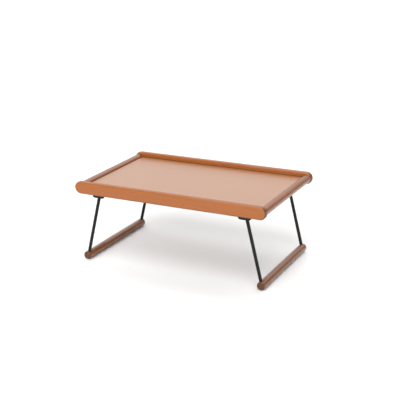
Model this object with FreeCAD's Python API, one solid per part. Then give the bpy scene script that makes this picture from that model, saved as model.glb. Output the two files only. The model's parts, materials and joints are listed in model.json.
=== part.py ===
"""Folding tray table: a framed wooden tray on two inward-folding leg frames.

Frame: +X along the tray, +Y to the rear, +Z up, in millimetres.
The origin is on the floor, under the middle of the tray. The legs stand unfolded.

The tray is a thin panel held in grooves: two flat long rails with half-round ends, and two round
side bars tenoned into them. A steel pivot plate is screwed to the inner face of each long rail at
every corner. A steel rod with a forged eye turns on a bolt in that plate, and leans on the plate's
bent stop tab when the leg is unfolded. The lower ends of a front and a rear rod are screwed into one
round foot bar, which makes a leg frame. Folded, a leg frame lies flat between the long rails.
"""

import FreeCAD
import Part

import math
import os

V = FreeCAD.Vector

# Tray
tray_length = 600.0
tray_depth = 376.0
tray_top_z = 247.5
rail_height = 37.0
rail_thickness = 17.5
rail_edge_radius = 5.0
bar_x = 285.0
bar_z = 229.0
bar_radius = 12.5
tenon_radius = 6.0
tenon_length = 10.5
tenon_chamfer = 0.8

# Panel: a board with a tongue all round it
panel_drop = 14.5
panel_thickness = 7.0
tongue_thickness = 4.5
tongue_drop = 1.5
tongue_reach = 5.5
groove_end_gap = 0.3
panel_side_gap = 0.1

# Legs
foot_x = 280.0
foot_bar_radius = 12.0
foot_bar_end_gap = 1.5
foot_bar_edge_radius = 3.5
rod_radius = 4.75
rod_seat_past_centre = 2.0
pivot_x = 231.0
pivot_z = 212.0
eye_radius = 8.0
eye_thickness = 11.0
eye_chamfer = 0.8

# Pivot plates
plate_thickness = 3.0
plate_half_width = 20.0
plate_top_z = 225.0
plate_bottom_z = 199.0
plate_top_radius = 3.0
plate_bottom_radius = 8.0
plate_edge_radius = 0.5
stop_tab_start = 7.5
stop_tab_end = 13.0
stop_tab_thickness = 3.0
stop_tab_reach = 9.0

# Fasteners
pivot_bolt_radius = 3.0
pivot_bolt_head_radius = 6.0
pivot_bolt_overhang = 1.2
pivot_bolt_chamfer = 0.6
friction_washer_thickness = 2.5
friction_washer_radius = 7.0
spring_washer_radius = 6.2
spring_washer_thickness = 0.7
spring_washer_cone = 0.5
nut_across_flats = 10.0
nut_hex_height = 4.2
nut_collar_height = 1.8
nut_collar_radius = 4.3
nut_crown_drop = 0.5
nut_crown_step = 0.35
nut_collar_chamfer = 0.7
nut_thread_gap = 0.02
wood_screw_radius = 1.75
wood_screw_head_radius = 3.6
wood_screw_length = 16.0
wood_screw_tip = 3.0
wood_screw_spacing = 27.0
wood_screw_z = 219.5
cross_slot_half_width = 0.45
cross_slot_half_length = 2.25
cross_slot_depth = 1.1
foot_screw_radius = 2.5
foot_screw_head_radius = 4.4
foot_screw_head_height = 2.6
foot_screw_head_round = 1.1
foot_screw_thread_length = 14.0
foot_screw_chamfer = 0.5
foot_screw_recess = 1.4
socket_radius = 1.5
socket_depth = 1.6

# Clearances
running_gap = 0.05
seat_gap = 0.05
stop_gap = 0.1
washer_bore_gap = 0.1
shank_gap = 0.1
recess_gap = 0.4
hole_end_gap = 0.5

# How far a cutting shape runs past the face it cuts
overcut = 2.0

# Worked out from the above
rail_inner_y = tray_depth / 2 - rail_thickness
rail_end_radius = rail_height / 2
rail_end_x = tray_length / 2 - rail_end_radius
rail_end_z = tray_top_z - rail_end_radius
panel_top_z = tray_top_z - panel_drop
tongue_top_z = panel_top_z - tongue_drop
foot_bar_half_length = rail_inner_y - foot_bar_end_gap
plate_inner_y = rail_inner_y - plate_thickness
eye_outer_y = plate_inner_y - friction_washer_thickness
rod_y = eye_outer_y - eye_thickness / 2
eye_inner_y = eye_outer_y - eye_thickness
spring_washer_height = spring_washer_thickness + spring_washer_cone
nut_y = eye_inner_y - 2 * seat_gap - spring_washer_height
nut_height = nut_hex_height + nut_collar_height
leg_length = math.hypot(foot_x - pivot_x, pivot_z - foot_bar_radius)
leg_lean = math.atan2(foot_x - pivot_x, pivot_z - foot_bar_radius)

CORNERS = {
    "front_left": (-1, -1),
    "front_right": (1, -1),
    "rear_left": (-1, 1),
    "rear_right": (1, 1),
}
SIDES = {"left": -1, "right": 1}


def box(x0, x1, y0, y1, z0, z1):
    return Part.makeBox(x1 - x0, y1 - y0, z1 - z0, V(x0, y0, z0))


def is_flat(length):
    """True where an edge has no extent along an axis."""
    return abs(length) < 1e-6


def rod_between(start, end, radius):
    """Round rod from one point to another."""
    along = end - start
    return Part.makeCylinder(radius, along.Length, start, along)


def turned(outline, base, direction):
    """Solid turned from (distance along the axis, radius) points, with its axis from base."""
    wire = Part.makePolygon([V(r, 0, s) for s, r in outline + outline[:1]])
    solid = Part.Face(wire).revolve(V(0, 0, 0), V(0, 0, 1), 360)
    solid.Placement = FreeCAD.Placement(base, FreeCAD.Rotation(V(0, 0, 1), direction))
    return solid


def ring(inner, outer, thickness, base, direction):
    outline = [(0, inner), (0, outer), (thickness, outer), (thickness, inner)]
    return turned(outline, base, direction)


def inward(sy):
    """Direction from a long rail's inner face towards the middle of the tray."""
    return V(0, -sy, 0)


def leg_point(sx, sy, distance):
    """Point on a rod's axis, at a distance from its pivot."""
    lean_x = math.sin(leg_lean) * distance
    drop_z = math.cos(leg_lean) * distance
    return V(sx * (pivot_x + lean_x), sy * rod_y, pivot_z - drop_z)


def leg_down(sx):
    return V(sx * math.sin(leg_lean), 0, -math.cos(leg_lean))


def pivot_point(sx, sy, y):
    return V(sx * pivot_x, sy * y, pivot_z)


def wood_screw_points(sx, sy, y):
    half = wood_screw_spacing / 2
    return [V(sx * pivot_x + shift, sy * y, wood_screw_z) for shift in (-half, half)]


# Tray ------------------------------------------------------------------------------------------


def long_rail_blank():
    """Front rail's outline, a bar with half-round ends and all its long edges rounded over."""
    y0 = -tray_depth / 2
    r = rail_end_radius
    left, right = V(-rail_end_x, y0, rail_end_z), V(rail_end_x, y0, rail_end_z)
    up, out = V(0, 0, r), V(r, 0, 0)
    outline = Part.Wire(
        [
            Part.LineSegment(left + up, right + up).toShape(),
            Part.Arc(right + up, right + out, right - up).toShape(),
            Part.LineSegment(right - up, left - up).toShape(),
            Part.Arc(left - up, left - out, left + up).toShape(),
        ]
    )
    blank = Part.Face(outline).extrude(V(0, rail_thickness, 0))
    rims = [e for e in blank.Edges if is_flat(e.BoundBox.YLength)]
    return blank.makeFillet(rail_edge_radius, rims)


def panel_groove():
    reach = tongue_reach + groove_end_gap
    half_x = bar_x - bar_radius + reach
    return box(
        -half_x,
        half_x,
        -rail_inner_y - reach,
        -rail_inner_y + overcut,
        tongue_top_z - tongue_thickness - seat_gap,
        tongue_top_z + seat_gap,
    )


def hole(radius, depth, start):
    """Round hole into the front rail's inner face."""
    return Part.makeCylinder(radius, depth, start, V(0, -1, 0))


def front_rail():
    """Rail cut for the panel, the side bars and the plate screws."""
    rail = long_rail_blank().cut(panel_groove())
    mortise_depth = tenon_length + hole_end_gap
    pilot_depth = wood_screw_length - plate_thickness + hole_end_gap
    for sx in SIDES.values():
        mortise = V(sx * bar_x, -rail_inner_y, bar_z)
        rail = rail.cut(hole(tenon_radius + seat_gap, mortise_depth, mortise))
        for pilot in wood_screw_points(sx, -1, rail_inner_y):
            rail = rail.cut(hole(wood_screw_radius + seat_gap, pilot_depth, pilot))
    return rail


def rear_rail():
    rail = front_rail()
    rail.rotate(V(0, 0, 0), V(0, 0, 1), 180)
    return rail


def side_bar(sx):
    """Round bar between the long rails, with a tenon at each end and a slot for the panel."""
    ends = rail_inner_y + tenon_length
    half = [
        (0, 0),
        (0, tenon_radius - tenon_chamfer),
        (tenon_chamfer, tenon_radius),
        (tenon_length, tenon_radius),
        (tenon_length, bar_radius),
    ]
    other_half = [(2 * ends - s, r) for s, r in reversed(half)]
    bar = turned(half + other_half, V(sx * bar_x, -ends, bar_z), V(0, 1, 0))
    bar_inner_x = bar_x - bar_radius
    slot_floor = bar_inner_x + tongue_reach + groove_end_gap
    slot_x = sorted((sx * (bar_inner_x - overcut), sx * slot_floor))
    slot = box(
        slot_x[0],
        slot_x[1],
        -rail_inner_y,
        rail_inner_y,
        tongue_top_z - tongue_thickness - seat_gap,
        tongue_top_z + seat_gap,
    )
    return bar.cut(slot)


def tray_panel():
    """Board whose tongue sits in the grooves of the rails and bars."""
    half_x = bar_x - bar_radius
    half_y = rail_inner_y - panel_side_gap
    board = box(-half_x, half_x, -half_y, half_y, panel_top_z - panel_thickness, panel_top_z)
    tongue_x = half_x + tongue_reach
    tongue_y = rail_inner_y + tongue_reach
    tongue_z = tongue_top_z - tongue_thickness
    tongue = box(-tongue_x, tongue_x, -tongue_y, tongue_y, tongue_z, tongue_top_z)
    return board.fuse(tongue).removeSplitter()


# Pivots ----------------------------------------------------------------------------------------


def plate_blank(sx, sy):
    """Flat plate on the rail's inner face, with small corners above, large ones below and a
    rounded rim on its open side."""
    x0 = sx * pivot_x - plate_half_width
    x1 = sx * pivot_x + plate_half_width
    y0, y1 = sorted((sy * rail_inner_y, sy * plate_inner_y))
    blank = box(x0, x1, y0, y1, plate_bottom_z, plate_top_z)
    for z, radius in ((plate_top_z, plate_top_radius), (plate_bottom_z, plate_bottom_radius)):
        across = [e for e in blank.Edges if is_flat(e.BoundBox.XLength) and is_flat(e.BoundBox.ZLength)]
        corners = [e for e in across if is_flat(e.BoundBox.ZMin - z)]
        blank = blank.makeFillet(radius, corners)
    in_plane = [e for e in blank.Edges if is_flat(e.BoundBox.YLength)]
    rim = [e for e in in_plane if is_flat(e.BoundBox.YMin - sy * plate_inner_y)]
    return blank.makeFillet(plate_edge_radius, rim)


def stop_tab(sx, sy):
    """Tab bent up from the plate, along the outer side of the unfolded rod."""
    off = rod_radius + stop_gap
    outward = V(sx * math.cos(leg_lean), 0, math.sin(leg_lean))
    first = leg_point(sx, sy, stop_tab_start) + outward * off
    along = leg_down(sx) * (stop_tab_end - stop_tab_start)
    across = outward * stop_tab_thickness
    corners = [first, first + along, first + along + across, first + across, first]
    base = [V(p.x, sy * (plate_inner_y + plate_thickness / 2), p.z) for p in corners]
    reach = stop_tab_reach + plate_thickness / 2
    return Part.Face(Part.makePolygon(base)).extrude(inward(sy) * reach)


def countersink(head, depth, bore):
    """Outline that cuts a conical head's seat and its bore right through a plate."""
    end = plate_thickness + overcut
    return [(-overcut, 0), (-overcut, head), (0, head), (depth, bore), (end, bore), (end, 0)]


def pivot_plate(sx, sy):
    plate = plate_blank(sx, sy).fuse(stop_tab(sx, sy)).removeSplitter()
    head = pivot_bolt_head_radius + running_gap
    bore = pivot_bolt_radius + running_gap
    seat = countersink(head, plate_thickness, bore)
    plate = plate.cut(turned(seat, pivot_point(sx, sy, rail_inner_y), inward(sy)))
    sink = wood_screw_head_radius - wood_screw_radius
    screw_bore = wood_screw_radius + seat_gap
    cone = countersink(screw_bore + sink, sink, screw_bore)
    for point in wood_screw_points(sx, sy, plate_inner_y):
        plate = plate.cut(turned(cone, point, V(0, sy, 0)))
    return plate


def plate_screws(sx, sy):
    """Two countersunk wood screws, with heads flush in the plate."""
    sink = wood_screw_head_radius - wood_screw_radius
    long, narrow = cross_slot_half_length, cross_slot_half_width
    screws = []
    for point in wood_screw_points(sx, sy, plate_inner_y):
        outline = [
            (0, 0),
            (0, wood_screw_head_radius),
            (sink, wood_screw_radius),
            (wood_screw_length - wood_screw_tip, wood_screw_radius),
            (wood_screw_length, 0),
        ]
        screw = turned(outline, point, V(0, sy, 0))
        for half_x, half_z in ((long, narrow), (narrow, long)):
            depth_y = sorted((point.y - sy * overcut, point.y + sy * cross_slot_depth))
            slot = box(
                point.x - half_x,
                point.x + half_x,
                depth_y[0],
                depth_y[1],
                point.z - half_z,
                point.z + half_z,
            )
            screw = screw.cut(slot)
        screws.append(screw)
    return Part.makeCompound(screws)


def pivot_bolt(sx, sy):
    """Bolt with a flat head sunk in the back of the plate."""
    length = rail_inner_y - nut_y + nut_height + pivot_bolt_overhang
    r = pivot_bolt_radius
    outline = [
        (seat_gap, 0),
        (seat_gap, pivot_bolt_head_radius),
        (plate_thickness, r),
        (length - pivot_bolt_chamfer, r),
        (length, r - pivot_bolt_chamfer),
        (length, 0),
    ]
    return turned(outline, pivot_point(sx, sy, rail_inner_y), inward(sy))


def friction_washer(sx, sy):
    base = pivot_point(sx, sy, plate_inner_y)
    thickness = friction_washer_thickness - seat_gap
    bore = pivot_bolt_radius + washer_bore_gap
    return ring(bore, friction_washer_radius, thickness, base, inward(sy))


def spring_washer(sx, sy):
    """Coned disc spring between the eye and the nut."""
    inner, outer = pivot_bolt_radius + washer_bore_gap, spring_washer_radius
    t, cone = spring_washer_thickness, spring_washer_cone
    outline = [(0, outer), (t, outer), (t + cone, inner), (cone, inner)]
    return turned(outline, pivot_point(sx, sy, eye_inner_y - seat_gap), inward(sy))


def lock_nut(sx, sy):
    """Hexagon nut with the round collar that holds its nylon ring."""
    corner_radius = nut_across_flats / math.sqrt(3)
    points = []
    for k in range(7):
        angle = math.radians(60 * k)
        dx, dz = corner_radius * math.cos(angle), corner_radius * math.sin(angle)
        points.append(V(sx * pivot_x + dx, sy * nut_y, pivot_z + dz))
    hexagon = Part.Face(Part.makePolygon(points)).extrude(inward(sy) * nut_hex_height)
    base = pivot_point(sx, sy, nut_y)
    crown = [
        (0, 0),
        (0, corner_radius - nut_crown_drop),
        (nut_crown_drop, corner_radius),
        (nut_hex_height - nut_crown_drop, corner_radius),
        (nut_hex_height, nut_collar_radius + nut_crown_step),
        (nut_hex_height, 0),
    ]
    collar = [
        (nut_hex_height - nut_crown_drop, 0),
        (nut_hex_height - nut_crown_drop, nut_collar_radius),
        (nut_height - nut_collar_chamfer, nut_collar_radius),
        (nut_height, nut_collar_radius - nut_collar_chamfer),
        (nut_height, 0),
    ]
    nut = hexagon.common(turned(crown, base, inward(sy)))
    nut = nut.fuse(turned(collar, base, inward(sy))).removeSplitter()
    start = pivot_point(sx, sy, nut_y + overcut)
    end = pivot_point(sx, sy, nut_y - nut_height - overcut)
    return nut.cut(rod_between(start, end, pivot_bolt_radius + nut_thread_gap))


# Legs ------------------------------------------------------------------------------------------


def leg_rod(sx, sy):
    """Steel rod with a forged eye at its top and a tapped hole in its lower end."""
    seat = leg_length + rod_seat_past_centre
    shaft = rod_between(leg_point(sx, sy, 0), leg_point(sx, sy, seat), rod_radius)
    c = eye_chamfer
    outline = [
        (0, 0),
        (0, eye_radius - c),
        (c, eye_radius),
        (eye_thickness - c, eye_radius),
        (eye_thickness, eye_radius - c),
        (eye_thickness, 0),
    ]
    eye_base = pivot_point(sx, sy, eye_outer_y)
    eye = turned(outline, eye_base, inward(sy))
    rod = shaft.fuse(eye).removeSplitter()
    bore_start = pivot_point(sx, sy, eye_outer_y + overcut)
    bore_end = pivot_point(sx, sy, eye_inner_y - overcut)
    rod = rod.cut(rod_between(bore_start, bore_end, pivot_bolt_radius + running_gap))
    tap_top = leg_point(sx, sy, seat - foot_screw_thread_length - hole_end_gap)
    tap_end = leg_point(sx, sy, seat + overcut)
    return rod.cut(rod_between(tap_top, tap_end, foot_screw_radius + seat_gap))


def foot_screw(sx, sy):
    """Pan-head machine screw, up through the foot bar into the end of the rod."""
    top = leg_length + rod_seat_past_centre - foot_screw_thread_length
    shoulder = foot_shoulder()
    length = shoulder - top
    head_end = length + foot_screw_head_height
    outline = [
        (0, 0),
        (0, foot_screw_radius - foot_screw_chamfer),
        (foot_screw_chamfer, foot_screw_radius),
        (length, foot_screw_radius),
        (length, foot_screw_head_radius),
        (head_end - foot_screw_head_round, foot_screw_head_radius),
        (head_end, foot_screw_head_radius - foot_screw_head_round),
        (head_end, socket_radius),
        (head_end - socket_depth, socket_radius),
        (head_end - socket_depth, 0),
    ]
    return turned(outline, leg_point(sx, sy, top), leg_down(sx))


def foot_shoulder():
    """Distance from the pivot to the seat of a foot screw's head."""
    return leg_length + foot_bar_radius - foot_screw_recess - foot_screw_head_height


def foot_bar(sx):
    """Round bar that a leg frame stands on, bored for its two rods and their screws."""
    start = V(sx * foot_x, -foot_bar_half_length, foot_bar_radius)
    bar = Part.makeCylinder(foot_bar_radius, 2 * foot_bar_half_length, start, V(0, 1, 0))
    rims = [e for e in bar.Edges if is_flat(e.BoundBox.YLength)]
    bar = bar.makeFillet(foot_bar_edge_radius, rims)
    seat = leg_length + rod_seat_past_centre
    for sy in (-1, 1):
        above = leg_point(sx, sy, leg_length - foot_bar_radius - overcut)
        below = leg_point(sx, sy, leg_length + foot_bar_radius + overcut)
        seat_end = leg_point(sx, sy, seat)
        rod_seat = rod_between(above, seat_end, rod_radius + seat_gap)
        shank = rod_between(seat_end, below, foot_screw_radius + shank_gap)
        shoulder = leg_point(sx, sy, foot_shoulder())
        recess = rod_between(shoulder, below, foot_screw_head_radius + recess_gap)
        bar = bar.cut(rod_seat).cut(shank).cut(recess)
    return bar


def all_parts():
    parts = {
        "tray_panel": tray_panel(),
        "front_rail": front_rail(),
        "rear_rail": rear_rail(),
    }
    for side, sx in SIDES.items():
        parts[f"{side}_side_bar"] = side_bar(sx)
        parts[f"{side}_foot_bar"] = foot_bar(sx)
    makers = {
        "pivot_plate": pivot_plate,
        "plate_screws": plate_screws,
        "pivot_bolt": pivot_bolt,
        "friction_washer": friction_washer,
        "spring_washer": spring_washer,
        "lock_nut": lock_nut,
        "leg_rod": leg_rod,
        "foot_screw": foot_screw,
    }
    for corner, (sx, sy) in CORNERS.items():
        for name, make in makers.items():
            parts[f"{corner}_{name}"] = make(sx, sy)
    return parts


def main():
    os.makedirs("parts", exist_ok=True)
    print(f"leg length {leg_length:.2f}, lean {math.degrees(leg_lean):.2f} degrees")
    for name, shape in all_parts().items():
        solids = shape.Solids
        valid = shape.isValid() and all(s.Volume > 0 for s in solids)
        print(f"{name}: {len(solids)} solid(s), {shape.Volume:.1f} mm3, valid {valid}")
        shape.exportStep(os.path.join("parts", f"{name}.step"))


main()
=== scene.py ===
"""Looks of the folding tray table: lacquered wood, powder-coated rods and plates, plated fasteners.

Everything is in metres, with +X along the tray, +Y to the rear and +Z up. The wooden pieces and the leg
rods are finer meshes that stand for their CAD nodes. The plates and fasteners are the CAD nodes.
"""

import json
import math

import bmesh
import bpy
from mathutils import Matrix, Vector


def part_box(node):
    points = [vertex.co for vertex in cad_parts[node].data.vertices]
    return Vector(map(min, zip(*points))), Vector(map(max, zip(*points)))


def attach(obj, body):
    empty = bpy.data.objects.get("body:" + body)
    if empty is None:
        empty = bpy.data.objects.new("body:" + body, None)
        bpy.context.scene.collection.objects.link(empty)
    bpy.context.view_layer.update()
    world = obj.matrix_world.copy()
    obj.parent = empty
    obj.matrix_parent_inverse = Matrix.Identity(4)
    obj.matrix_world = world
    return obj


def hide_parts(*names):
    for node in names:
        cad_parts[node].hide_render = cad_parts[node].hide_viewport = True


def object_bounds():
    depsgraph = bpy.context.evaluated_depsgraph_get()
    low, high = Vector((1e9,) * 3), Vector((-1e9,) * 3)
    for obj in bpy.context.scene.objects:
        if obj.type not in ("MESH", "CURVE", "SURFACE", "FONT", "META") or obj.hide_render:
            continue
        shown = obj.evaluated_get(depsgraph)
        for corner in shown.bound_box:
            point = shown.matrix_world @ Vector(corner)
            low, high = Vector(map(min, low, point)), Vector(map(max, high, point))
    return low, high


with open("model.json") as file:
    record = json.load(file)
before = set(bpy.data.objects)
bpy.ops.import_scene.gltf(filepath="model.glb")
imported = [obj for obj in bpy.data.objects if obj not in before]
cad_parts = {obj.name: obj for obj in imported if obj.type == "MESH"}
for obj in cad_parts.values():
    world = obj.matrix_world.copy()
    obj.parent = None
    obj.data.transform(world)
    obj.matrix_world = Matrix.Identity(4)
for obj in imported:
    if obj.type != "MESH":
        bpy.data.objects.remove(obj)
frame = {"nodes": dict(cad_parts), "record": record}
cad_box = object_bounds()

# Radii of rounded edges
RAIL_EDGE = 0.005
FOOT_EDGE = 0.0035
PANEL_EDGE = 0.0006
# Chamfer round a side bar's shoulder, and radius of its tenons
SHOULDER_EDGE = 0.0004
TENON_RADIUS = 0.006
# The visible panel stops this far short of the rails, and goes this far into the side bars
PANEL_GAP = 0.0002

# Leg rods: each eye narrows to the round rod along its neck
ROD_RADIUS = 0.00475
ROD_PAST_FOOT_CENTRE = 0.002
EYE_RADIUS = 0.008
EYE_HALF_THICKNESS = 0.0055
EYE_NECK = 0.012
# Section of the eye, from 0 for an ellipse to 1 for a rectangle
EYE_SQUARENESS = 0.6

# Fineness of the meshes. A support is an extra ring beside an edge's arc, which keeps the flat part flat.
ARC_STEPS = 10
END_STEPS = 30
TURN_STEPS = 64
EYE_CAP_STEPS = 11
EYE_NECK_STEPS = 12
SUPPORT = 0.0004
SHARP_ANGLE = math.radians(32)

# Camera
CAMERA_AZIMUTH = math.radians(26.05)
CAMERA_ELEVATION = math.radians(18.08)
CAMERA_ROLL = math.radians(-0.46)
CAMERA_DISTANCE = 2.85
CAMERA_LENS_MM = 86.44
SENSOR_MM = 36.0
AIM_FROM_CENTRE = Vector((0.0121, 0.0052, 0.0508))

# Studio
FLOOR_SIZE = 14.0
FLOOR_GAP = 0.0004
FLOOR_ALBEDO = 0.98
SURROUND_LIGHT = 0.15
# Soft areas round the table: (direction, outer and inner angle in degrees, strength)
AREAS = (
    ((0.17, -0.93, 0.33), 41, 28, 1.9),
    ((0.10, -0.70, 0.70), 36, 20, 1.05),
    ((-0.95, 0.10, 0.25), 53, 26, 0.35),
    ((0.92, -0.30, 0.20), 42, 18, 0.8),
)
# Pale wall behind, brighter higher up: where each part fades in, as sines of the angle up
WALL_LIGHT = 0.9
WALL_FOOT = (0.02, 0.12)
UPPER_WALL_LIGHT = 0.95
UPPER_WALL_FOOT = (0.40, 0.54)
# and where the whole wall ends, as sines of the angles back and to the right
WALL_NEAR_END = (0.0, 0.4)
WALL_RIGHT_END = (0.55, 0.25)
# Soft box overhead, a little to the front
KEY_AZIMUTH = math.radians(4)
KEY_ELEVATION = math.radians(64)
KEY_DISTANCE = 3.2
KEY_WIDTH = 2.8
KEY_DEPTH = 1.5
KEY_POWER = 34.0


# Node graphs -----------------------------------------------------------------------------------


class Graph:
    """A node tree, with short calls for the nodes that the materials and the studio share."""

    def __init__(self, tree):
        self.tree = tree

    def node(self, kind, **settings):
        node = self.tree.nodes.new("ShaderNode" + kind)
        for name, value in settings.items():
            setattr(node, name, value)
        return node

    def link(self, value, socket):
        """Link another node's output to the socket, or set the socket to a plain value."""
        if isinstance(value, bpy.types.NodeSocket):
            self.tree.links.new(value, socket)
        else:
            socket.default_value = value

    def coordinate(self, kind):
        return self.node("TexCoord").outputs[kind]

    def math(self, operation, *values):
        node = self.node("Math", operation=operation)
        for value, socket in zip(values, node.inputs):
            self.link(value, socket)
        return node.outputs[0]

    def vector(self, operation, *values):
        node = self.node("VectorMath", operation=operation)
        for value, socket in zip(values, node.inputs):
            self.link(value, socket)
        return node.outputs["Value" if operation in ("LENGTH", "DOT_PRODUCT") else "Vector"]

    def split(self, vector):
        node = self.node("SeparateXYZ")
        self.link(vector, node.inputs[0])
        return node.outputs

    def noise(self, vector, scale=1.0, detail=2.0, roughness=0.5):
        node = self.node("TexNoise")
        self.link(vector, node.inputs["Vector"])
        node.inputs["Scale"].default_value = scale
        node.inputs["Detail"].default_value = detail
        node.inputs["Roughness"].default_value = roughness
        return node.outputs["Fac"]

    def remap(self, value, low, high, to_low=0.0, to_high=1.0):
        """Smooth step from to_low at low to to_high at high."""
        node = self.node("MapRange", interpolation_type="SMOOTHSTEP")
        for socket, item in zip(node.inputs, (value, low, high, to_low, to_high)):
            self.link(item, socket)
        return node.outputs["Result"]

    def mix(self, factor, first, second):
        node = self.node("Mix", data_type="RGBA")
        inputs = [s for s in node.inputs if s.enabled]
        for value, socket in zip((factor, first, second), inputs):
            self.link(value, socket)
        return next(s for s in node.outputs if s.enabled)


class Material(Graph):
    """A Principled material's graph."""

    def __init__(self, name):
        self.material = bpy.data.materials.new(name)
        self.material.use_nodes = True
        super().__init__(self.material.node_tree)
        self.shader = self.tree.nodes["Principled BSDF"]
        self.position = self.coordinate("Object")

    def set(self, **values):
        """Set or link the shader's sockets; Base_Color stands for Base Color."""
        for name, value in values.items():
            self.link(value, self.shader.inputs[name.replace("_", " ")])

    def bump(self, height, distance, strength):
        node = self.node("Bump")
        node.inputs["Strength"].default_value = strength
        node.inputs["Distance"].default_value = distance
        self.link(height, node.inputs["Height"])
        self.set(Normal=node.outputs["Normal"])

    def attribute(self, name):
        return self.node("Attribute", attribute_name=name).outputs["Fac"]


def rgb(red, green, blue):
    """Linear colour from display values of 0 to 255."""
    linear = [
        v / 12.92 if v <= 0.04045 else ((v + 0.055) / 1.055) ** 2.4
        for v in (red / 255, green / 255, blue / 255)
    ]
    return (*linear, 1.0)


def scaled(colour, factor):
    return (*[factor * c for c in colour[:3]], 1.0)


# Wood ------------------------------------------------------------------------------------------

BLACK = (0, 0, 0, 1)

# Stains: (between the rings, in the rings, uneven patches)
FRAME_STAIN = (rgb(166, 96, 42), rgb(138, 76, 31), rgb(148, 84, 35))
PANEL_STAIN = (rgb(165, 105, 52), rgb(153, 97, 47), rgb(156, 99, 48))
# Painted shade: the round bars share the rails' stain, darkened to this brightness for the shade that
# falls on them
SIDE_BAR_PAINTED_SHADE = 0.7
FOOT_BAR_PAINTED_SHADE = 0.6

# How each kind of piece is finished. "contrast" is the strength of the grain's pattern, and the underside
# entry is a painted shade:
# how bright the piece's underside is painted, against its top.
RAIL_FINISH = {
    "slot": "bar_wood",
    "stain": FRAME_STAIN,
    "contrast": 1.0,
    "gloss": 0.15,
    "coat": 0.6,
    "coat_roughness": 0.1,
    "coat_ior": 1.5,
    "painted_underside_shade": 0.45,
}
# The round bars' stains carry their painted shade
BAR_FINISH_AND_SHADE = {**RAIL_FINISH, "stain": [scaled(c, SIDE_BAR_PAINTED_SHADE) for c in FRAME_STAIN], "coat": 0.8}
FOOT_FINISH_AND_SHADE = {**BAR_FINISH_AND_SHADE, "stain": [scaled(c, FOOT_BAR_PAINTED_SHADE) for c in FRAME_STAIN]}
PANEL_FINISH = {
    "slot": "panel_wood",
    "stain": PANEL_STAIN,
    "contrast": 0.6,
    "gloss": 0.5,
    "coat": 1.0,
    "coat_roughness": 0.3,
    "coat_ior": 1.55,
    "painted_underside_shade": 0.25,
}

# Patterns that are drawn out along the grain: scale along it and across it per metre, detail, roughness
DRIFT = (2.2, 12, 3, 0.5)
FIBRE = (12, 620, 4, 0.62)
PORE = (160, 2600, 1, 0.5)
PATCH = (4, 14, 2, 0.5)
# Levels of the noise between which each of them shows
FIBRE_LEVELS = (0.32, 0.72)
PORE_LEVELS = (0.62, 0.7)
PATCH_LEVELS = (0.35, 0.75)
# Each piece's patterns are moved by this many times its pith point, so that no two pieces match
PATTERN_SHIFT = 7

# Growth rings: how many a metre, how far they waver, and where in a ring its colour deepens and fades
RINGS_PER_METRE = 260
RING_WAVER = 0.022
RING_DEEPENS = (0.1, 0.85)
RING_FADES = (1.0, 0.9)

# How far a face turns to the grain's end, or down, as its end grain or its painted underside shade comes
# in
END_GRAIN_FACING = (0.1, 0.65)
UNDERSIDE_SHADE_FACING = (-0.1, -0.7)

# How strongly each thing tints the wood
RING_TINT = 0.45
FIBRE_TINT = 0.5
PATCH_TINT = 0.4
PORE_TINT = 0.5
RUBBED_TINT = 0.25
END_GRAIN_TINT = 0.8
SEAM_STAIN_AND_SHADE_TINT = 0.8
# and how bright its tint is, against the stain
PORE_SHADE = 0.4
RUBBED_SHADE = 1.15
END_GRAIN_SHADE = 0.4
SEAM_STAIN_AND_SHADE_LEVEL = 0.15

# Dark line round the panel, partly stain collected in the joint and partly painted shade in the corner:
# how far it reaches sideways and upward
SEAM_STAIN_AND_SHADE_WIDTH = 0.0009
SEAM_STAIN_AND_SHADE_HEIGHT = 0.0024

# Roughness under the lacquer, and what fibres and pores add to it
WOOD_ROUGHNESS = 0.44
FIBRE_ROUGHNESS = 0.12
PORE_ROUGHNESS = 0.15
# Relief of the grain, and the shares of it that fibres stand up and pores go down
GRAIN_RELIEF = 0.00005
FIBRE_RISE = 0.5
PORE_DROP = 0.8
BUMP_STRENGTH = 0.5


def panel_outline():
    """Half the length and depth of the panel's top, and its height."""
    bar_low, bar_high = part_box("right_side_bar")
    half_x = bar_high.x - (bar_high.z - bar_low.z)
    return half_x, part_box("rear_rail")[0].y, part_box("tray_panel")[1].z


def seam_stain_and_shade(m):
    """1 along the line where the panel's top meets the rails and side bars: stain collected in the joint
    plus painted shade in the corner.
    """
    half_x, half_y, top = panel_outline()
    x, y, z = m.split(m.position)
    beside = [m.math("SUBTRACT", m.math("ABSOLUTE", c), half) for c, half in ((x, half_x), (y, half_y))]
    outside = m.math("ABSOLUTE", m.math("MAXIMUM", *beside))
    above = m.math("ABSOLUTE", m.math("SUBTRACT", z, top))
    return m.math("MULTIPLY", m.remap(outside, SEAM_STAIN_AND_SHADE_WIDTH, 0.0), m.remap(above, SEAM_STAIN_AND_SHADE_HEIGHT, 0.0))


def grain_noise(m, point, along, pattern):
    """Noise that is drawn out along the grain."""
    lengthwise, crosswise, detail, roughness = pattern
    scale = {
        "X": (lengthwise, crosswise, crosswise),
        "Y": (crosswise, lengthwise, crosswise),
    }[along]
    return m.noise(m.vector("MULTIPLY", point, scale), detail=detail, roughness=roughness)


def growth_rings(m, along, pith, drift):
    """1 in the dark part of each ring round the pith line, fading to 0 between the rings."""
    across = (0, 1, 1) if along == "X" else (1, 0, 1)
    offset = m.vector("MULTIPLY", m.vector("SUBTRACT", m.position, pith), across)
    radius = m.math("ADD", m.vector("LENGTH", offset), m.math("MULTIPLY", drift, RING_WAVER))
    phase = m.math("FRACT", m.math("MULTIPLY", radius, RINGS_PER_METRE))
    return m.math("MULTIPLY", m.remap(phase, *RING_DEEPENS), m.remap(phase, *RING_FADES))


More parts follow.
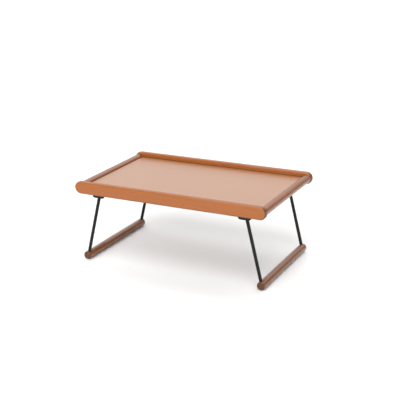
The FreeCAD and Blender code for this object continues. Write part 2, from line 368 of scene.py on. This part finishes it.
def wood(name, along, pith, finish):
    """Stained and lacquered wood: growth rings round a pith line, fibres, pores and uneven stain, with
    painted shade on undersides and along the panel's seam.
    """
    early, late, uneven = finish["stain"]
    contrast = finish["contrast"]
    m = Material(name)
    point = m.vector("ADD", m.position, tuple(PATTERN_SHIFT * c for c in pith))
    ring = growth_rings(m, along, pith, grain_noise(m, point, along, DRIFT))
    fibre = grain_noise(m, point, along, FIBRE)
    pore = m.remap(grain_noise(m, point, along, PORE), *PORE_LEVELS)
    patch = grain_noise(m, point, along, PATCH)
    facing = m.split(m.coordinate("Normal"))
    end_grain = m.remap(m.math("ABSOLUTE", facing[along]), *END_GRAIN_FACING)
    tints = (
        (m.math("MULTIPLY", ring, RING_TINT * contrast), late),
        (m.remap(fibre, *FIBRE_LEVELS, 0.0, FIBRE_TINT * contrast), late),
        (m.remap(patch, *PATCH_LEVELS, 0.0, PATCH_TINT * contrast), uneven),
        (m.math("MULTIPLY", pore, PORE_TINT), scaled(late, PORE_SHADE)),
        (m.math("MULTIPLY", m.attribute("edge"), RUBBED_TINT), scaled(early, RUBBED_SHADE)),
        (m.math("MULTIPLY", end_grain, END_GRAIN_TINT), scaled(late, END_GRAIN_SHADE)),
        # Painted shade: faces turned down are darkened towards black
        (m.remap(facing["Z"], *UNDERSIDE_SHADE_FACING, 0.0, 1.0 - finish["painted_underside_shade"]), BLACK),
        # Dark line round the panel: stain collected in the joint plus painted shade in the corner
        (m.math("MULTIPLY", seam_stain_and_shade(m), SEAM_STAIN_AND_SHADE_TINT), scaled(late, SEAM_STAIN_AND_SHADE_LEVEL)),
    )
    colour = early
    for amount, tint in tints:
        colour = m.mix(amount, colour, tint)
    roughness = m.math("ADD", m.math("MULTIPLY", fibre, FIBRE_ROUGHNESS), WOOD_ROUGHNESS)
    roughness = m.math("ADD", roughness, m.math("MULTIPLY", pore, PORE_ROUGHNESS))
    m.set(Base_Color=colour, Roughness=roughness)
    m.set(Specular_IOR_Level=finish["gloss"], Coat_Weight=finish["coat"])
    m.set(Coat_Roughness=finish["coat_roughness"], Coat_IOR=finish["coat_ior"])
    height = m.math("SUBTRACT", m.math("MULTIPLY", fibre, FIBRE_RISE), m.math("MULTIPLY", pore, PORE_DROP))
    m.bump(height, GRAIN_RELIEF, BUMP_STRENGTH)
    return m.material


# Steel and plastic -----------------------------------------------------------------------------


def powder_coat():
    """Satin black powder coat: a fine orange-peel skin over steel, slightly uneven."""
    m = Material("black_powder_coat")
    peel = m.noise(m.position, scale=900, detail=2)
    cloud = m.noise(m.position, scale=60, detail=2)
    m.set(Base_Color=m.mix(cloud, rgb(10, 10, 10), rgb(18, 18, 17)), Specular_IOR_Level=0.25)
    m.set(Roughness=m.remap(peel, 0.3, 0.7, 0.34, 0.46))
    m.bump(peel, 0.00006, 0.4)
    return m.material


def plated_steel():
    """Zinc plate with a fine machined haze."""
    m = Material("zinc_plate")
    haze = m.noise(m.position, scale=1400, detail=2)
    cloud = m.noise(m.position, scale=180, detail=3)
    m.set(Base_Color=m.mix(cloud, rgb(150, 150, 148), rgb(196, 197, 200)), Metallic=1.0)
    m.set(Roughness=m.remap(haze, 0.3, 0.7, 0.24, 0.42))
    m.bump(haze, 0.00002, 0.5)
    return m.material


def nylon():
    """Moulded black nylon, slightly mottled."""
    m = Material("black_nylon")
    mottle = m.noise(m.position, scale=700, detail=2)
    m.set(Base_Color=m.mix(mottle, rgb(28, 28, 29), rgb(44, 43, 42)))
    m.set(Roughness=m.remap(mottle, 0.3, 0.7, 0.5, 0.62))
    m.bump(mottle, 0.00003, 0.5)
    return m.material


# Meshes ----------------------------------------------------------------------------------------


def add_object(name, data):
    new = bpy.data.objects.new(name, data)
    bpy.context.scene.collection.objects.link(new)
    return new


def loft(name, rings):
    """Closed mesh through rings of points, each ring a (points, edge wear) pair."""
    mesh = bmesh.new()
    wear = mesh.verts.layers.float.new("edge")
    loops = []
    for points, amount in rings:
        loop = [mesh.verts.new(p) for p in points]
        for vert in loop:
            vert[wear] = amount
        loops.append(loop)
    count = len(loops[0])
    for near, far in zip(loops, loops[1:]):
        for i in range(count):
            j = (i + 1) % count
            mesh.faces.new((near[i], near[j], far[j], far[i]))
    mesh.faces.new(loops[0][::-1])
    mesh.faces.new(loops[-1])
    bmesh.ops.recalc_face_normals(mesh, faces=mesh.faces)
    for face in mesh.faces:
        face.smooth = True
    for edge in mesh.edges:
        edge.smooth = edge.calc_face_angle(0) < SHARP_ANGLE
    data = bpy.data.meshes.new(name)
    mesh.to_mesh(data)
    mesh.free()
    return add_object(name, data)


def rounded(depth, radius):
    """Section of a board: (distance below its face, inset from its outline, wear), edges rounded."""
    turn = [math.pi / 2 * k / ARC_STEPS for k in range(ARC_STEPS + 1)]
    edge = [(radius * (1 - math.cos(a)), radius * (1 - math.sin(a)), math.sin(2 * a)) for a in turn]
    support = min(SUPPORT, (depth - 2 * radius) / 4)
    near = [(0, radius + SUPPORT, 0.0)] + edge + [(radius + support, 0, 0.0)]
    return near + [(depth - d, inset, wear) for d, inset, wear in reversed(near)]


def stadium(centre, half_length, radius, inset):
    """Outline with half-round ends in the XZ plane, as (x, z) pairs."""
    r = radius - inset
    run = half_length - radius
    points = []
    for side in (1, -1):
        for k in range(END_STEPS + 1):
            angle = math.pi * k / END_STEPS
            x = centre.x + side * (run + r * math.sin(angle))
            points.append((x, centre.z + side * r * math.cos(angle)))
    return points


def make_rail(node):
    """Board with half-round ends and rounded edges."""
    low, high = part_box(node)
    centre, half = (low + high) / 2, (high - low) / 2
    rings = []
    for depth, inset, wear in rounded(high.y - low.y, RAIL_EDGE):
        outline = stadium(centre, half.x, half.z, inset)
        rings.append(([Vector((x, low.y + depth, z)) for x, z in outline], wear))
    return loft(f"{node}_board", rings)


def circle(centre, radius):
    """Circle round the Y axis."""
    turns = [2 * math.pi * k / TURN_STEPS for k in range(TURN_STEPS)]
    return [centre + Vector((radius * math.cos(a), 0, radius * math.sin(a))) for a in turns]


def turned(name, centre, stations):
    """Piece turned about a line along Y, from (y, radius, wear) stations."""
    return loft(name, [(circle(Vector((centre.x, y, centre.z)), r), wear) for y, r, wear in stations])


def make_side_bar(node):
    """Dowel between the rails, with a tenon at each end."""
    low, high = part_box(node)
    radius = (high.z - low.z) / 2
    outer = max(low.x, high.x, key=abs)
    centre = Vector((outer - math.copysign(radius, outer), 0, (low.z + high.z) / 2))
    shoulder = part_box("rear_rail")[0].y
    half = [
        (high.y, TENON_RADIUS, 0),
        (shoulder, TENON_RADIUS, 0),
        (shoulder, radius - SHOULDER_EDGE, 0),
        (shoulder - SHOULDER_EDGE, radius, 0),
        (shoulder - SHOULDER_EDGE - 2 * SUPPORT, radius, 0),
    ]
    return turned(f"{node}_dowel", centre, half + [(-y, r, wear) for y, r, wear in reversed(half)])


def make_foot_bar(node):
    """Dowel with rounded ends."""
    low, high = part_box(node)
    centre = (low + high) / 2
    radius = (high.z - low.z) / 2
    stations = []
    for depth, inset, wear in rounded(high.y - low.y, FOOT_EDGE):
        stations.append((low.y + depth, radius - inset, wear))
    return turned(f"{node}_dowel", centre, stations)


def make_panel(node):
    """The panel between its grooves, with its edges eased."""
    low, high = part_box(node)
    half_x, half_y, top = panel_outline()
    rings = []
    for below, inset, wear in rounded(high.z - low.z, PANEL_EDGE):
        x, y, z = half_x + PANEL_GAP - inset, half_y - PANEL_GAP - inset, top - below
        rings.append(([Vector(c) for c in ((x, y, z), (-x, y, z), (-x, -y, z), (x, -y, z))], wear))
    return loft(f"{node}_board", rings)


def rod_stations():
    """Sections down a leg rod's eye and neck: (distance past the pivot, half width, half depth)."""
    stations = []
    for k in range(1, EYE_CAP_STEPS + 1):
        s = -EYE_RADIUS * math.cos(math.pi / 2 * k / EYE_CAP_STEPS)
        stations.append((s, math.sqrt(EYE_RADIUS**2 - s**2), EYE_HALF_THICKNESS))
    for k in range(1, EYE_NECK_STEPS + 1):
        t = k / EYE_NECK_STEPS
        ease = t * t * (3 - 2 * t)
        bulge = math.sqrt(max(EYE_RADIUS**2 - (t * EYE_NECK) ** 2, 0))
        half_width = max(ROD_RADIUS + (EYE_RADIUS - ROD_RADIUS) * (1 - ease), bulge)
        half_depth = EYE_HALF_THICKNESS + (ROD_RADIUS - EYE_HALF_THICKNESS) * ease
        stations.append((t * EYE_NECK, half_width, half_depth))
    return stations


def rod_section(half_width, half_depth, squareness):
    """Closed outline of (across, along Y) pairs, from an ellipse to nearly a rectangle."""
    power = 1 - EYE_SQUARENESS * squareness
    points = []
    for k in range(TURN_STEPS):
        angle = 2 * math.pi * k / TURN_STEPS
        c, s = math.cos(angle), math.sin(angle)
        across = math.copysign(abs(c) ** power, c) * half_width
        points.append((across, math.copysign(abs(s) ** power, s) * half_depth))
    return points


def make_rod(node, side, pivot):
    """Round rod from the leg's pivot into its foot bar, with a flattened eye at the pivot."""
    low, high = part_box(node)
    foot_low, foot_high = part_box(f"{side}_foot_bar")
    foot = (foot_low + foot_high) / 2
    pivot.y = foot.y = (low.y + high.y) / 2
    down = (foot - pivot).normalized()
    across = Vector((-down.z, 0, down.x))
    length = (foot - pivot).length + ROD_PAST_FOOT_CENTRE
    rings = []
    for s, half_width, half_depth in rod_stations() + [(length, ROD_RADIUS, ROD_RADIUS)]:
        squareness = 1 - min(max(s / EYE_NECK, 0), 1)
        section = rod_section(half_width, half_depth, squareness)
        rings.append(([pivot + down * s + across * u + Vector((0, v, 0)) for u, v in section], 0.0))
    return loft(f"{node}_steel", rings)


# Table -----------------------------------------------------------------------------------------


def stand_for(piece, node, body, material):
    """Put the piece in a CAD node's place, with that node's body and the given material."""
    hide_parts(node)
    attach(piece, body)
    piece.data.materials.append(material)


def build_wood():
    """Boards and dowels: (node, body, maker, grain direction, point on the pith line, finish)."""
    pieces = (
        ("front_rail", "tray", make_rail, "X", (0, -0.215, 0.13), RAIL_FINISH),
        ("rear_rail", "tray", make_rail, "X", (0, 0.225, 0.33), RAIL_FINISH),
        ("left_side_bar", "tray", make_side_bar, "Y", (-0.255, 0, 0.17), BAR_FINISH_AND_SHADE),
        ("left_foot_bar", "left_leg", make_foot_bar, "Y", (-0.31, 0, 0.03), FOOT_FINISH_AND_SHADE),
        ("right_side_bar", "tray", make_side_bar, "Y", (0.255, 0, 0.23), BAR_FINISH_AND_SHADE),
        ("right_foot_bar", "right_leg", make_foot_bar, "Y", (0.31, 0, 0.05), FOOT_FINISH_AND_SHADE),
        ("tray_panel", "tray", make_panel, "X", (0, 0.05, -0.35), PANEL_FINISH),
    )
    for node, body, make, along, pith, finish in pieces:
        stand_for(make(node), node, body, wood(node, along, pith, finish))


def build_rods(material):
    for joint in frame["record"]["behaviour"]["joints"]:
        leg = joint["child"]
        side = leg.split("_")[0]
        for row in ("front", "rear"):
            node = f"{row}_{side}_leg_rod"
            stand_for(make_rod(node, side, Vector(joint["pos_m"])), node, leg, material)


def paint_hardware(black):
    """Give the CAD nodes that stay their materials, by the ends of their names."""
    finishes = {
        ("pivot_plate", "pivot_bolt"): black,
        ("friction_washer",): nylon(),
        ("plate_screws", "spring_washer", "lock_nut", "foot_screw"): plated_steel(),
    }
    for endings, material in finishes.items():
        for node, piece in frame["nodes"].items():
            if node.endswith(endings):
                piece.data.materials.clear()
                piece.data.materials.append(material)


# Studio ----------------------------------------------------------------------------------------


def towards(azimuth, elevation):
    """Direction from the table: azimuth turns from the front to the right, elevation goes up."""
    level = math.cos(elevation)
    return Vector((math.sin(azimuth) * level, -math.cos(azimuth) * level, math.sin(elevation)))


def add_camera():
    centre = (cad_box[0] + cad_box[1]) / 2
    back = towards(CAMERA_AZIMUTH, CAMERA_ELEVATION)
    right = Vector((math.cos(CAMERA_AZIMUTH), math.sin(CAMERA_AZIMUTH), 0))
    rolled = right * math.cos(CAMERA_ROLL) + back.cross(right) * math.sin(CAMERA_ROLL)
    axes = Matrix((rolled, back.cross(rolled), back)).transposed().to_4x4()
    lens = bpy.data.cameras.new("camera")
    lens.lens, lens.sensor_width = CAMERA_LENS_MM, SENSOR_MM
    camera = add_object("camera", lens)
    camera.matrix_world = Matrix.Translation(centre + AIM_FROM_CENTRE + back * CAMERA_DISTANCE) @ axes
    bpy.context.scene.camera = camera


def add_floor():
    mesh = bpy.data.meshes.new("floor")
    half = FLOOR_SIZE / 2
    corners = [(x, y, -FLOOR_GAP) for x, y in ((-half, -half), (half, -half), (half, half), (-half, half))]
    mesh.from_pydata(corners, [], [(0, 1, 2, 3)])
    m = Material("floor")
    m.set(Base_Color=(FLOOR_ALBEDO, FLOOR_ALBEDO, FLOOR_ALBEDO, 1), Roughness=0.9)
    m.set(Specular_IOR_Level=0.1)
    mesh.materials.append(m.material)
    add_object("floor", mesh)


def soft_area(g, direction, centre, outer, inner, strength):
    """Round area of light that fades from its inner to its outer angle, in degrees from its centre."""
    nearness = g.vector("DOT_PRODUCT", direction, Vector(centre).normalized())
    return g.remap(nearness, math.cos(math.radians(outer)), math.cos(math.radians(inner)), 0.0, strength)


def add_world():
    """Soft areas above, before and beside the table, and a pale wall behind. The camera sees white."""
    world = bpy.data.worlds.new("studio")
    bpy.context.scene.world = world
    world.use_nodes = True
    g = Graph(world.node_tree)
    direction = g.coordinate("Generated")
    x, y, z = g.split(direction)
    light = g.remap(z, *WALL_FOOT, 0.0, WALL_LIGHT)
    light = g.math("ADD", light, g.remap(z, *UPPER_WALL_FOOT, 0.0, UPPER_WALL_LIGHT))
    light = g.math("MULTIPLY", light, g.remap(y, *WALL_NEAR_END))
    light = g.math("MULTIPLY", light, g.remap(x, *WALL_RIGHT_END))
    light = g.math("ADD", light, SURROUND_LIGHT)
    for area in AREAS:
        light = g.math("ADD", light, soft_area(g, direction, *area))
    seen = g.node("LightPath").outputs["Is Camera Ray"]
    glow = g.math("ADD", g.math("MULTIPLY", light, g.math("SUBTRACT", 1.0, seen)), seen)
    sky = world.node_tree.nodes["Background"]
    g.link(glow, sky.inputs["Strength"])
    sky.inputs["Color"].default_value = (1, 1, 1, 1)


def add_key():
    direction = towards(KEY_AZIMUTH, KEY_ELEVATION)
    lamp = bpy.data.lights.new("key", "AREA")
    lamp.shape, lamp.size, lamp.size_y, lamp.energy = "RECTANGLE", KEY_WIDTH, KEY_DEPTH, KEY_POWER
    key = add_object("key", lamp)
    key.location = (cad_box[0] + cad_box[1]) / 2 + direction * KEY_DISTANCE
    key.rotation_euler = (-direction).to_track_quat("-Z", "Y").to_euler()


add_camera()
add_floor()
add_world()
add_key()
coat = powder_coat()
build_wood()
build_rods(coat)
paint_hardware(coat)
bpy.context.scene.view_settings.view_transform = "Standard"
